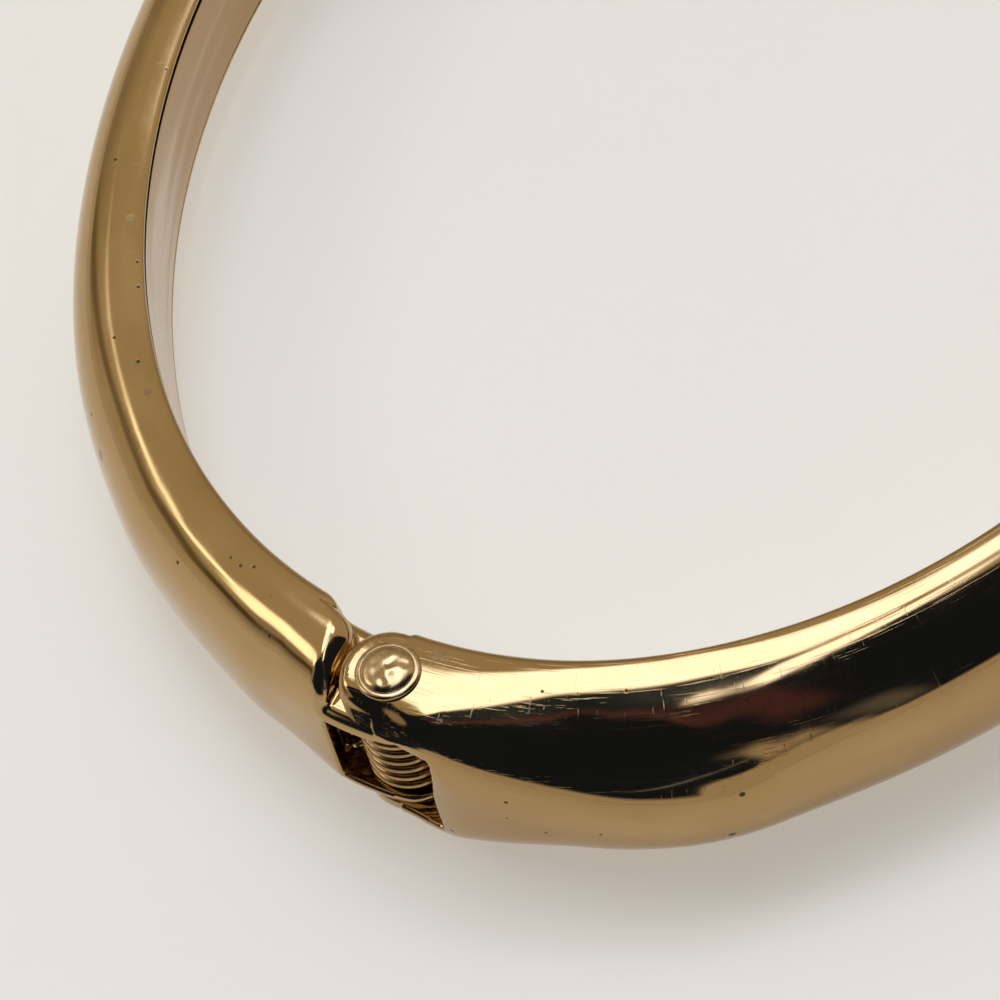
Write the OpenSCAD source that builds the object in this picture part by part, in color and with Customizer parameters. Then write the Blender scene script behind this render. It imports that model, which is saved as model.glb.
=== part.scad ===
// Hinged oval bangle, lying on its side. Millimetres.
// The wrist hollow is centred on the origin, the surface it lies on is z = 0,
// the hinge is at -X, the free ends meet at +X, and +Z is across the band.
// The front arm is the deep, domed half at -Y. The back arm is the slim, tapering half at +Y.

/* [Wrist hollow] */
// Length of the oval hollow, from the hinge to the free ends
wrist_length = 60.8; // [54:0.2:70]
// Width of the oval hollow
wrist_width = 47.1; // [42:0.1:56]

/* [Band] */
// Width of the band at the hinge, at the free ends and along the front arm
band_width = 8.4; // [7.6:0.1:11]
// Depth of both arms at the hinge and at the free ends
end_depth = 4.1; // [3.8:0.1:4.8]
// Greatest depth of the domed front arm
front_depth = 5.6; // [5.1:0.05:7]
// Depth of the back arm along its middle
back_depth = 3.2; // [3.1:0.05:3.9]
// Width of the back arm along its middle
back_width = 5.8; // [5.2:0.1:7.4]
// Wall of the hollow arms
wall = 0.8; // [0.6:0.05:1]
// Gap between the two free ends
end_gap = 0.1; // [0.06:0.02:0.3]

/* [Inner plates] */
// Thickness of the plate that closes each arm on its inside
plate_t = 0.6; // [0.4:0.05:0.8]
// Height of the arm's lip above and below the plate
lip = 0.35; // [0.3:0.05:0.6]
// Gap round the plate
plate_gap = 0.06; // [0.04:0.01:0.1]

/* [Hinge] */
// Thickness of the front arm's two outer ears
outer_ear_t = 1.45; // [1.2:0.05:1.6]
// Thickness of the back arm's two inner ears
inner_ear_t = 0.65; // [0.5:0.05:0.8]
// Gap between an outer ear and an inner ear
ear_gap = 0.06; // [0.04:0.01:0.12]
// Distance from the pin to the back arm's shoulder
shoulder_y = 2.2; // [2.15:0.05:2.6]
// Distance from the pin to the window's edge on the back arm
back_window_y = 2.3; // [2.2:0.05:2.7]
// Distance from the pin to the window's edge on the front arm
front_window_y = 2.25; // [2.2:0.05:2.7]
// How far the hollow for a spring leg goes behind each edge of the window
leg_pocket = 1.1; // [0.9:0.05:1.4]

/* [Pin] */
// Radius of the pin's shank
pin_r = 1; // [0.8:0.05:1.1]
// Radial clearance of the pin in the outer ears
pin_fit = 0.03; // [0.02:0.01:0.06]
// Radial clearance of the pin in the inner ears, which turn on it
pin_running = 0.05; // [0.03:0.01:0.09]
// Radius of the pin's two heads
head_r = 1.3; // [1.2:0.05:1.5]
// Height of each domed head
head_h = 0.42; // [0.3:0.02:0.6]

/* [Spring] */
// Diameter of the spring wire
wire_d = 0.42; // [0.36:0.02:0.52]
// Outer diameter of the coil
coil_d = 3.76; // [3.66:0.02:3.9]
// Whole turns of the coil, on top of the part turn between its legs
coil_turns = 6; // [4:1:6]

/* [Hidden] */

gold = [0.82, 0.63, 0.33];
plate_gold = [0.76, 0.58, 0.38];
wire_gold = [0.7, 0.56, 0.32];

// Half length and half width of the oval, and the middle plane of the band
oval_a = wrist_length / 2;
oval_b = wrist_width / 2;
seat_gap = 0.02;
base_z = head_h + seat_gap;
mid_z = base_z + band_width / 2;
top_z = base_z + band_width;
pin_x = -(oval_a + end_depth / 2);
ear_r = end_depth / 2 - 0.05;

// Angle at which the solid hinge end turns into the hollow arm, and where the hollow stops
solid_angle = 11;
closed_angle = 177.5;
last_angle = 180 - asin(end_gap / 2 / oval_b);
angle_step = 4.5;

// Sections of the front arm. Columns: angle from the nearer end, share of the way from
// the end depth to the greatest depth, roundness across, roundness up
front_rows = [
    [0, 0, 8, 8],
    [3.5, 0.2, 6.5, 7],
    [6, 0.47, 4.2, 4.2],
    [9, 0.6, 2.9, 3.2],
    [14, 0.71, 2, 2.6],
    [19, 0.91, 1.7, 2.4],
    [24, 1, 1.62, 2.3],
    [28, 0.91, 1.62, 2.25],
    [33, 0.57, 1.8, 2.4],
    [40, 0.37, 1.9, 2.5],
    [52, 0.28, 1.95, 2.5],
    [90, 0.23, 1.95, 2.5]
];
// Sections of the back arm. Columns: angle from the nearer end, share of the way from
// the end depth to the middle depth, roundness across, roundness up,
// share of the way from the band width to the back width
back_rows = [
    [0, 0, 8, 8, 0],
    [3.5, 0, 6.5, 7, 0],
    [6, 0.04, 4.5, 3.4, 0],
    [10, 0.31, 4, 2.3, 0.01],
    [14, 0.36, 3.8, 2.1, 0.04],
    [19, 0.53, 3.7, 2, 0.12],
    [25, 0.56, 3.6, 2, 0.25],
    [30, 0.51, 3.5, 2, 0.4],
    [36, 0.6, 3.4, 2, 0.56],
    [48, 0.62, 3.3, 2, 0.86],
    [62, 0.8, 3.1, 2, 1],
    [75, 0.94, 3, 2, 1],
    [90, 1, 3, 2, 1]
];
SHARE = 1;
ACROSS = 2;
UP = 3;
WIDTH = 4;

// Smooth curve through one column of a table, flat at both ends
function row_below(rows, a, i = 0) =
    i >= len(rows) - 2 || a < rows[i + 1][0] ? i : row_below(rows, a, i + 1);
function slope(rows, col, i) =
    i == 0 || i == len(rows) - 1 ? 0
    : (rows[i + 1][col] - rows[i - 1][col]) / (rows[i + 1][0] - rows[i - 1][0]);
function hermite(t, h, p0, p1, m0, m1) =
    (2 * t ^ 3 - 3 * t ^ 2 + 1) * p0 + (t ^ 3 - 2 * t ^ 2 + t) * h * m0
    + (3 * t ^ 2 - 2 * t ^ 3) * p1 + (t ^ 3 - t ^ 2) * h * m1;
function curve(rows, col, a) =
    let (b = min(abs(a), 180 - abs(a)))
    let (i = row_below(rows, b))
    let (h = rows[i + 1][0] - rows[i][0])
    hermite((b - rows[i][0]) / h, h, rows[i][col], rows[i + 1][col],
        slope(rows, col, i), slope(rows, col, i + 1));

// Depth and half width of an arm at an angle
function front_d(a) = end_depth + curve(front_rows, SHARE, a) * (front_depth - end_depth);
function back_d(a) = end_depth + curve(back_rows, SHARE, a) * (back_depth - end_depth);
function front_h(a) = band_width / 2;
function back_h(a) = (band_width + curve(back_rows, WIDTH, a) * (back_width - band_width)) / 2;

// Place on the oval at an angle from the hinge, and the outward direction there.
// side is 1 for the back arm at +Y and -1 for the front arm at -Y.
// A negative angle is a straight run past the pin, in millimetres.
function on_oval(a, side) =
    a < 0 ? [-oval_a, side * a] : [-oval_a * cos(a), side * oval_b * sin(a)];
function outward(a, side) =
    a < 0 ? [-1, 0]
    : let (n = [-cos(a) / oval_a, side * sin(a) / oval_b]) n / norm(n);

// Outer outline of a section as depth and height, from the lower edge round to the upper one
section_steps = 20;
function signed_power(v, e) = sign(v) * abs(v) ^ e;
function outline(d, h, across, up) = [
    for (i = [0:section_steps])
    let (t = -90 + 180 * i / section_steps)
    i == 0 ? [0, -h]
    : i == section_steps ? [0, h]
    : [d * cos(t) ^ (2 / across), h * signed_power(sin(t), 2 / up)]
];
// Hollow side of a section, from the upper lip round to the lower lip
hollow_steps = 8;
groove = plate_t + plate_gap;
function hollow(d, h, across, up) =
    let (hollow_h = h - wall)
    let (hollow_d = d - wall - groove)
    concat(
        [[0, h - lip], [groove, h - lip], [groove, hollow_h]],
        [for (i = [1:hollow_steps - 1])
            let (t = 90 - 180 * i / hollow_steps)
            [groove + hollow_d * cos(t) ^ (2 / across), hollow_h * signed_power(sin(t), 2 / up)]],
        [[groove, -hollow_h], [groove, lip - h], [0, lip - h]]
    );

// Carries a list of depth and height points to its place at an angle
function placed(points, a, side) =
    let (o = on_oval(a, side))
    let (n = outward(a, side))
    [for (p = points) [o[0] + p[0] * n[0], o[1] + p[0] * n[1], mid_z + p[1]]];

// Faces of a skin between equal rings, counted from a first point
function skin(first, ring, rings, closed) = [
    for (j = [0:rings - 2], i = [0:ring - (closed ? 1 : 2)])
    let (p = first + j * ring + i)
    let (q = first + j * ring + (i + 1) % ring)
    for (f = [[p, q, q + ring], [p, q + ring, p + ring]]) f
];
function flipped(faces) = [for (f = faces) [for (i = [len(f) - 1:-1:0]) f[i]]];
// Triangles over a convex ring of points, from the middle one of them
function fan(first, count) =
    let (m = floor(count / 2))
    [for (i = [1:count - 2]) [
        first + m,
        first + (m + i) % count,
        first + (m + i + 1) % count
    ]];
// Triangles over the hollow's section, between the lower lip, the upper lip and the hollow's ring
function hollow_end(low, high, first, count) =
    let (last = first + count - 1)
    concat(
        [[low, last, last - 1], [low, last - 1, first + 1], [low, first + 1, first], [low, first, high]],
        flipped(fan(first + 1, count - 2))
    );
function turned(faces, side) = side > 0 ? faces : flipped(faces);

// Angles of the rings: solid end past the pin, hollow run, closed free end
run_past_pin = end_depth / 2 + 0.3;
end_angles = [-run_past_pin, 0, 2, 3.5, 4.75, 6, 7.5, 9, solid_angle];
middle_steps = ceil((closed_angle - solid_angle) / angle_step);
middle_angles = [
    for (i = [1:middle_steps])
    solid_angle + (closed_angle - solid_angle) * i / middle_steps
];
ring_angles = concat(end_angles, middle_angles, [last_angle]);
hollow_angles = concat([solid_angle], middle_angles);

// One arm without its hinge cuts. outlines and hollows hold a section for each ring.
module arm_body(outlines, hollows, side) {
    // each outer ring also carries the two lip edges, so that the hollow meets it there
    n = section_steps + 3;
    rings = len(outlines);
    m = len(hollows[0]);
    inner_rings = len(hollows);
    first_inner = n * rings;
    j0 = len(end_angles) - 1;
    outer_points = [for (o = outlines) for (p = o) p];
    inner_points = [for (o = hollows) for (i = [1:m - 2]) o[i]];
    k = m - 2;
    outer_skin = skin(0, n, rings, false);
    inner_skin = flipped(skin(first_inner, k, inner_rings, false));
    // strips that join the lips to the hollow, and the plain inside of the solid ends
    lips = [
        for (j = [0:inner_rings - 2])
        let (r = (j0 + j) * n)
        let (s = first_inner + j * k)
        for (f = [
            [r + n - 1, s + k, r + 2 * n - 1], [r + n - 1, s, s + k],
            [s + k - 1, r + n, s + 2 * k - 1], [s + k - 1, r, r + n]
        ]) f
    ];
    plain = [
        for (j = [0:rings - 2])
        if (j < j0 || j >= j0 + inner_rings - 1)
        let (r = j * n)
        for (f = [[r + n - 1, r, r + n], [r + n - 1, r + n, r + 2 * n - 1]]) f
    ];
    j1 = j0 + inner_rings - 1;
    last_inner = first_inner + (inner_rings - 1) * k;
    faces = concat(
        outer_skin, inner_skin, lips, plain,
        flipped(fan(0, n)), fan((rings - 1) * n, n),
        hollow_end(j0 * n, j0 * n + n - 1, first_inner, k),
        flipped(hollow_end(j1 * n, j1 * n + n - 1, last_inner, k))
    );
    polyhedron(concat(outer_points, inner_points), turned(faces, side), convexity = 6);
}
function with_lips(points, h) = concat([[0, lip - h]], points, [[0, h - lip]]);

// One inner plate, which lies in the groove of its arm
module plate_body(heights, side) {
    spans = [for (i = [0:len(hollow_angles) - 1])
        i == 0 ? hollow_angles[i] + 0.15
        : i == len(hollow_angles) - 1 ? hollow_angles[i] - 0.15
        : hollow_angles[i]];
    points = [
        for (i = [0:len(spans) - 1])
        let (h = heights[i] - lip - plate_gap)
        for (p = placed([[0, -h], [plate_t, -h], [plate_t, h], [0, h]], spans[i], side)) p
    ];
    last = 4 * (len(spans) - 1);
    faces = concat(skin(0, 4, len(spans), true), flipped(fan(0, 4)), fan(last, 4));
    polyhedron(points, turned(faces, side), convexity = 4);
}

// Cutters for the hinge. Each one is written for an arm that leaves the pin towards +Y.
cut_reach = 20;
// What lies outside the round end of an ear
module round_end_cut() {
    difference() {
        translate([-end_depth, -cut_reach, -1])
            cube([2 * end_depth, cut_reach, band_width + 2]);
        translate([0, 0, -2])
            cylinder(h = band_width + 4, r = ear_r, $fn = 96);
    }
}
// Everything nearer than a distance from the pin, between two heights
module across_cut(reach, z0, z1) {
    translate([-end_depth, -cut_reach, z0])
        cube([2 * end_depth, cut_reach + reach, z1 - z0]);
}
// The hollow behind the window's edge, where a spring leg lies
module leg_pocket_cut(reach) {
    half = ear_r - wall;
    translate([-half, 0, ear_z1])
        cube([2 * half, reach + leg_pocket, band_width - 2 * ear_z1]);
}
// Heights of the ears above the lower face of the band
ear_z0 = outer_ear_t + ear_gap;
ear_z1 = ear_z0 + inner_ear_t;

module front_arm() {
    outlines = [for (a = ring_angles)
        let (o = outline(front_d(a), front_h(a), curve(front_rows, ACROSS, a),
            curve(front_rows, UP, a)))
        placed(with_lips(o, front_h(a)), a, -1)];
    hollows = [for (a = hollow_angles)
        placed(hollow(front_d(a), front_h(a), curve(front_rows, ACROSS, a),
            curve(front_rows, UP, a)), a, -1)];
    color(gold)
    difference() {
        arm_body(outlines, hollows, -1);
        translate([pin_x, 0, base_z]) {
            mirror([0, 1, 0]) {
                round_end_cut();
                across_cut(front_window_y, outer_ear_t, band_width - outer_ear_t);
                leg_pocket_cut(front_window_y);
            }
            translate([0, 0, -1])
                cylinder(h = band_width + 2, r = pin_r + pin_fit, $fn = 64);
        }
    }
}

module back_arm() {
    outlines = [for (a = ring_angles)
        let (o = outline(back_d(a), back_h(a), curve(back_rows, ACROSS, a),
            curve(back_rows, UP, a)))
        placed(with_lips(o, back_h(a)), a, 1)];
    hollows = [for (a = hollow_angles)
        placed(hollow(back_d(a), back_h(a), curve(back_rows, ACROSS, a),
            curve(back_rows, UP, a)), a, 1)];
    color(gold)
    difference() {
        arm_body(outlines, hollows, 1);
        translate([pin_x, 0, base_z]) {
            round_end_cut();
            across_cut(shoulder_y, -1, ear_z0);
            across_cut(shoulder_y, band_width - ear_z0, band_width + 1);
            across_cut(back_window_y, ear_z1, band_width - ear_z1);
            leg_pocket_cut(back_window_y);
            translate([0, 0, -1])
                cylinder(h = band_width + 2, r = pin_r + pin_running, $fn = 64);
        }
    }
}

module front_plate() {
    color(plate_gold)
    plate_body([for (a = hollow_angles) front_h(a)], -1);
}

module back_plate() {
    color(plate_gold)
    plate_body([for (a = hollow_angles) back_h(a)], 1);
}

// The pin with its two domed heads
head_dome_r = (head_r ^ 2 + head_h ^ 2) / (2 * head_h);
module pin_head() {
    intersection() {
        translate([0, 0, head_h - head_dome_r])
            sphere(r = head_dome_r, $fn = 96);
        cylinder(h = head_h + 1, r = head_r - 0.001, $fn = 96);
    }
}
module hinge_pin() {
    color(gold)
    translate([pin_x, 0, 0])
    union() {
        translate([0, 0, head_h - 0.1])
            cylinder(h = band_width + 2 * seat_gap + 0.2, r = pin_r, $fn = 64);
        translate([0, 0, top_z + seat_gap])
            pin_head();
        translate([0, 0, head_h])
            mirror([0, 0, 1])
                pin_head();
    }
}

// The torsion spring: a coil round the pin with a straight leg into each arm
leg_angle = 20;
coil_r = (coil_d - wire_d) / 2;
coil_z0 = base_z + ear_z1 + wire_d / 2 + 0.05;
coil_z1 = top_z - ear_z1 - wire_d / 2 - 0.05;
leg_length = (front_window_y + leg_pocket - 0.35 - coil_r * sin(leg_angle)) / cos(leg_angle);
coil_steps = 18;
wire_sides = 6;
coil_sweep = 360 * coil_turns + 2 * leg_angle;
coil_points = [
    for (i = [0:coil_steps * coil_turns])
    let (t = i / (coil_steps * coil_turns))
    let (a = -leg_angle + coil_sweep * t)
    [coil_r * cos(a), coil_r * sin(a), coil_z0 + (coil_z1 - coil_z0) * t]
];
wire_points = concat(
    [coil_points[0] - leg_length * [sin(leg_angle), cos(leg_angle), 0]],
    coil_points,
    [coil_points[len(coil_points) - 1] + leg_length * [-sin(leg_angle), cos(leg_angle), 0]]
);
// Direction of the wire at a point, and a ring of points square to it
function wire_way(i) =
    let (p = wire_points[max(i - 1, 0)])
    let (q = wire_points[min(i + 1, len(wire_points) - 1)])
    (q - p) / norm(q - p);
function wire_ring(i) =
    let (w = wire_way(i))
    let (u = cross(w, [0, 0, 1]) / norm(cross(w, [0, 0, 1])))
    let (v = cross(w, u))
    [for (j = [0:wire_sides - 1])
        let (t = 360 * j / wire_sides)
        wire_points[i] + wire_d / 2 * (cos(t) * u + sin(t) * v)];
module hinge_spring() {
    n = len(wire_points);
    last = wire_sides * (n - 1);
    points = [for (i = [0:n - 1]) for (p = wire_ring(i)) p];
    faces = concat(skin(0, wire_sides, n, true), flipped(fan(0, wire_sides)), fan(last, wire_sides));
    color(wire_gold)
    translate([pin_x, 0, 0])
        polyhedron(points, faces, convexity = 10);
}

front_arm();
front_plate();
back_arm();
back_plate();
hinge_pin();
hinge_spring();
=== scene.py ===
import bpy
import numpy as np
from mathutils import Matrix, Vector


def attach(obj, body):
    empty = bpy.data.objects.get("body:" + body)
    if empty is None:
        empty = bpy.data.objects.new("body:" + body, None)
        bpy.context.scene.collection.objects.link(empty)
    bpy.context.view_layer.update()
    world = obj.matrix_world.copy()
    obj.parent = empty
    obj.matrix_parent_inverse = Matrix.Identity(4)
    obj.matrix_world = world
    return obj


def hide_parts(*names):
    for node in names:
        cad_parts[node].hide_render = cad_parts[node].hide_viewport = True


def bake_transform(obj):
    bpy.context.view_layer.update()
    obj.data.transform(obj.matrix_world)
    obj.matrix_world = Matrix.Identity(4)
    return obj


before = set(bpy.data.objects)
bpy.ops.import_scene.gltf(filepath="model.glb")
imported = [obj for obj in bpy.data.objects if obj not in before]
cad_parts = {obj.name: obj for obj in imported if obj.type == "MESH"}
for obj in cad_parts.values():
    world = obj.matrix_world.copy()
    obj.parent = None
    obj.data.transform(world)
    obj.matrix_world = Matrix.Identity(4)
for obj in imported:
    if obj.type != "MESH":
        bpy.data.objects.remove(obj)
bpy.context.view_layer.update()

# %% [markdown]
# A hinged bangle, lying on its side
# The CAD solids are the fixed frame: they say where every piece is. Each visible piece is made
# again here, finer and with softened edges, in exactly the same place, because polished metal
# shows every flat facet. All lengths in the cells below are millimetres until a mesh is made.

# %% [markdown]
# The camera
# The photograph looks down at 56 degrees from the hinge side, through a long lens. Three
# directions place the camera: to the right of the picture, up the picture, and into it.
# Blender's camera looks along its own -Z, so the third column is turned round.

# %% The camera
right = Vector((0.44049, -0.88271, -0.16372))
up = Vector((0.79143, 0.29572, 0.53497))
into = right.cross(up) * -1
eye = Vector((-113.608, -77.803, 184.08)) / 1000

camera_data = bpy.data.cameras.new("camera")
camera_data.sensor_width = 36
camera_data.lens = 197.93
camera_data.clip_start, camera_data.clip_end = 0.01, 20
camera = bpy.data.objects.new("camera", camera_data)
bpy.context.scene.collection.objects.link(camera)
turn = Matrix((right, up, -into)).transposed().to_4x4()
camera.matrix_world = Matrix.Translation(eye) @ turn
bpy.context.scene.camera = camera
print("camera looks along", np.round(into, 3))

# %% [markdown]
# The two arms as formulas
# Each arm is one section carried along half an oval. The section is a superellipse: depth and
# height to two powers add up to one, so the powers say how round or how square it is. A small
# table gives depth, both powers and the width at a few angles from the hinge, and a smooth
# curve runs through each column. The same numbers make the CAD solids.

# %% Sizes of the band
LONG, WIDE = 30.4, 23.55          # half length and half width of the wrist hollow
WIDTH, END_DEPTH = 8.4, 4.1       # of the band at the hinge
BASE = 0.44                       # height of the band above the surface
MIDDLE = BASE + WIDTH / 2
PIN_X = -LONG - END_DEPTH / 2
EAR_R = 2.02
FRONT, BACK = -1, 1               # the side of Y on which an arm lies

# columns: angle, depth, power across, power up, half width
front_sections = np.array([
    [0, 4.1, 8, 8, 4.2], [3.5, 4.4, 6.5, 7, 4.2], [6, 4.805, 4.2, 4.2, 4.2],
    [9, 5.0, 2.9, 3.2, 4.2], [14, 5.165, 2, 2.6, 4.2], [19, 5.465, 1.7, 2.4, 4.2],
    [24, 5.6, 1.62, 2.3, 4.2], [28, 5.465, 1.62, 2.25, 4.2], [33, 4.955, 1.8, 2.4, 4.2],
    [40, 4.655, 1.9, 2.5, 4.2], [52, 4.52, 1.95, 2.5, 4.2], [90, 4.445, 1.95, 2.5, 4.2]])
back_sections = np.array([
    [0, 4.1, 8, 8, 4.2], [3.5, 4.1, 6.5, 7, 4.2], [6, 4.064, 4.5, 3.4, 4.2],
    [10, 3.821, 4, 2.3, 4.187], [14, 3.776, 3.8, 2.1, 4.148], [19, 3.623, 3.7, 2, 4.044],
    [25, 3.596, 3.6, 2, 3.875], [30, 3.641, 3.5, 2, 3.68], [36, 3.56, 3.4, 2, 3.472],
    [48, 3.542, 3.3, 2, 3.082], [62, 3.38, 3.1, 2, 2.9], [75, 3.254, 3, 2, 2.9],
    [90, 3.2, 3, 2, 2.9]])
SECTIONS = {FRONT: front_sections, BACK: back_sections}
print("rows:", len(front_sections), "and", len(back_sections))


# %% Curves along the band
def through(rows, column, angle):
    """A cubic curve through one column of a table. Each slope is that of the line between a
    row's two neighbours, and both ends are flat. The far half of an arm mirrors the near half."""
    b = np.minimum(np.abs(angle), 180 - np.abs(angle))
    x, y = rows[:, 0], rows[:, column]
    slope = np.zeros(len(x))
    slope[1:-1] = (y[2:] - y[:-2]) / (x[2:] - x[:-2])
    i = np.clip(np.searchsorted(x, b, side="right") - 1, 0, len(x) - 2)
    h = x[i + 1] - x[i]
    t = (b - x[i]) / h
    return ((2 * t**3 - 3 * t**2 + 1) * y[i] + (t**3 - 2 * t**2 + t) * h * slope[i]
            + (3 * t**2 - 2 * t**3) * y[i + 1] + (t**3 - t**2) * h * slope[i + 1])


turns = np.linspace(0, np.pi, 7201)
steps = np.hypot(np.diff(-LONG * np.cos(turns)), np.diff(WIDE * np.sin(turns)))
run_of_turn = np.concatenate([[0], np.cumsum(steps)])
RUN = run_of_turn[-1]


def on_band(run, depth, height, side):
    """A point of the band: the point of the oval at a run from the hinge, plus depth times the
    outward normal, at a height from the middle plane. A run below zero goes straight on."""
    a = np.interp(run, run_of_turn, turns)
    x, y = -LONG * np.cos(a), WIDE * np.sin(a) + np.minimum(run, 0)
    nx, ny = -np.cos(a) / LONG, np.sin(a) / WIDE
    n = np.hypot(nx, ny)
    return np.stack([x + depth * nx / n, side * (y + depth * ny / n), MIDDLE + height], -1)


print("half the oval is", round(float(RUN), 2), "mm long")

# %% [markdown]
# Solids from distances
# The hinge has rounded ears, a window, pockets and a shoulder, all cut out of one casting whose
# edges are softened by polishing. Instead of cutting a mesh, the arm is a formula that says how
# far a point is outside (above zero) or inside (below zero). A cut is then one line, and its
# edge is rounded in the same line. Afterwards a skin is put over the places where the formula
# is zero.


# %% Cutting and joining with rounded edges
def both(a, b, radius):
    """What two solids share. The larger distance counts, and where both are near zero the
    length of the two together rounds the edge with this radius."""
    near = np.hypot(np.maximum(a + radius, 0), np.maximum(b + radius, 0))
    return np.minimum(np.maximum(a, b), -radius) + near


def cut(a, b, radius):
    """Solid a without solid b: what a shares with everything outside b."""
    return both(a, -b, radius)


def smooth_step(v, low, high):
    """0 below low, 1 above high, and 3t^2 - 2t^3 between them."""
    t = np.clip((v - low) / (high - low), 0, 1)
    return t * t * (3 - 2 * t)


def rough(p, size):
    """A cast surface between -1 and 1: two products of crossed waves whose phases bend each
    other. The wave numbers have no common measure, so nothing seems to repeat."""
    x, y, z = (p[..., i] / size for i in range(3))
    a = np.sin(6.1 * x + 2.3 * np.sin(3.7 * y + 1.1)) * np.sin(5.3 * y + 1.9 * np.sin(4.3 * z))
    b = np.sin(11.7 * z + 2.9 * np.sin(7.1 * x)) * np.sin(9.7 * y - 8.3 * x + 0.7)
    return 0.6 * a + 0.4 * b


# %% Sizes of the hinge
OUTER_EAR, INNER_EAR, EAR_GAP = 1.45, 0.65, 0.06
LEDGE = WIDTH / 2 - OUTER_EAR - EAR_GAP      # height of the inner ears' outer faces
WINDOW = LEDGE - INNER_EAR                   # half height of the back arm's window
SHOULDER, BACK_WINDOW, FRONT_WINDOW, POCKET = 2.2, 2.3, 2.25, 1.1
WINDOW_CORNER = {FRONT: 0.25, BACK: 0.12}
WALL, PIN_R, BORE_GAP = 0.8, 1.0, 0.04
PLATE, LIP, PLATE_GAP, END_GAP = 0.6, 0.35, 0.06, 0.1
PLATE_RUN = np.interp(np.radians([11, 177.5]), turns, run_of_turn)
print("ledge and window at", round(LEDGE, 2), "and", round(WINDOW, 2), "from the middle plane")

# %% What polishing took away, and what casting left
CROWN, CROWN_REACH = 0.11, 1.5        # how far the faces sink at the wrist, and to which depth
LIP_ROUND, LIP_ROUND_MORE = 0.17, 0.16    # radius of the wrist edge, and what the hinge adds
EAR_ROUND = {FRONT: 0.45, BACK: 0.22}     # radii of the ears' ends
CHAMFER_ROUND = {FRONT: 0.5, BACK: 0.9}
CHAMFER_UP = 0.7                      # how far a normal of the chamfer points up
WINDOW_ROUND = {FRONT: 0.11, BACK: 0.17}
END_ROUND, GROOVE_ROUND, POCKET_ROUND, BORE_ROUND = 0.1, 0.05, 0.05, 0.03
NOSE_CORNERS = 1.35, 0.75             # radii of the nose from above: outer side, wrist side
NOSE_SINKS = (-0.825, -0.565)         # direction in which the nose gets lower
SINK_GROWTH, SINK_MOST = 0.13, 0.35
GRAIN, GRAIN_SIZE = 0.085, 0.5        # of the cast walls
FAR = 5                               # further than any edge reaches
print("radii at the back arm's nose:", NOSE_CORNERS)


# %% The band without its hinge
def band(run, depth, height, side):
    """Distances to the plain arm and to the groove of its plate. g = (depth/D)^p + (height/H)^q
    is 1 on the surface. Its q-th root minus 1, over the steepness of that root, is close to a
    distance in millimetres. The crown lowers the faces a little towards the wrist."""
    angle = np.degrees(np.interp(run, run_of_turn, turns))
    deep, p, q, half = (through(SECTIONS[side], c, angle) for c in (1, 2, 3, 4))
    crown = CROWN * np.clip(1 - depth / CROWN_REACH, 0, 1) ** 2
    tiny = 1e-4
    a = np.maximum(depth, tiny) / deep
    b = np.maximum(np.abs(height), tiny) / (half - crown)
    g = a**p + b**q
    steep = g ** (1 / q - 1) / q * np.hypot(p * a ** (p - 1) / deep, q * b ** (q - 1) / half)
    outside = (g ** (1 / q) - 1) / np.maximum(steep, 0.08)
    edge = LIP_ROUND + LIP_ROUND_MORE * smooth_step(-run, -14, -5)
    body = both(outside, -depth, edge)
    groove = both(depth - PLATE, np.abs(height) - (half - LIP), 0.02)
    groove = np.maximum(groove, np.maximum(PLATE_RUN[0] - run, run - PLATE_RUN[1]))
    return cut(body, groove, GROOVE_ROUND), groove


# %% The hinge end of each arm
def pocket(p, x, y, h, reach):
    """A blind hollow for the spring's leg, from the window as far as reach. Its walls are left
    as they were cast, with a grain that fades out at the ears."""
    plain = both(both(np.abs(x) - (EAR_R - WALL), y - reach, 0.2), h - WINDOW, 0.2)
    return plain + GRAIN * rough(p, GRAIN_SIZE) * smooth_step(y, 1.6, 2.4)


def chamfer(x, y, h, side):
    """Distance past the slope of 45 degrees that takes the outer edge off the ears. Further
    along the arm it rises out of the metal."""
    if side == FRONT:
        rise = 0.36 - 1.2 * smooth_step(y, 0.3, 4.0)
    else:
        rise = 0.6 - 1.3 * smooth_step(y, SHOULDER, SHOULDER + 2.4)
    return (h - WIDTH / 2 - x - EAR_R) * CHAMFER_UP + rise


def room_for_ears(x, y, h):
    """The room beside the back arm's inner ears, where the front arm's ears turn. Seen from
    above its end is straight, with a quarter circle at each side, and behind it is the nose."""
    outside, inside = NOSE_CORNERS
    # stopping a little short of each radius keeps the roots above zero
    outer = np.clip(x - EAR_R + outside, 0, outside - 0.05)
    inner = np.clip(-x - EAR_R + inside, 0, inside - 0.05)
    corner = (outside - np.sqrt(outside**2 - outer**2)) + (inside - np.sqrt(inside**2 - inner**2))
    return both(y - SHOULDER - corner, LEDGE - h, 0.16)


def window(x, y, height, side):
    """The opening on the outside of the hinge. Its lower sill slopes outwards, and the front
    arm's end of it leans a little."""
    h = np.abs(height)
    sill = np.where(height < 0, 0.16 * np.clip(-x - 1.6, 0, 0.5), 0)
    if side == FRONT:
        edge = FRONT_WINDOW + 0.36 * smooth_step(height, -0.6, 2.2)
        return both(y - edge, h - (WIDTH / 2 - OUTER_EAR) - sill, WINDOW_CORNER[side])
    return both(y - BACK_WINDOW, h - WINDOW - sill, WINDOW_CORNER[side])


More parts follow.
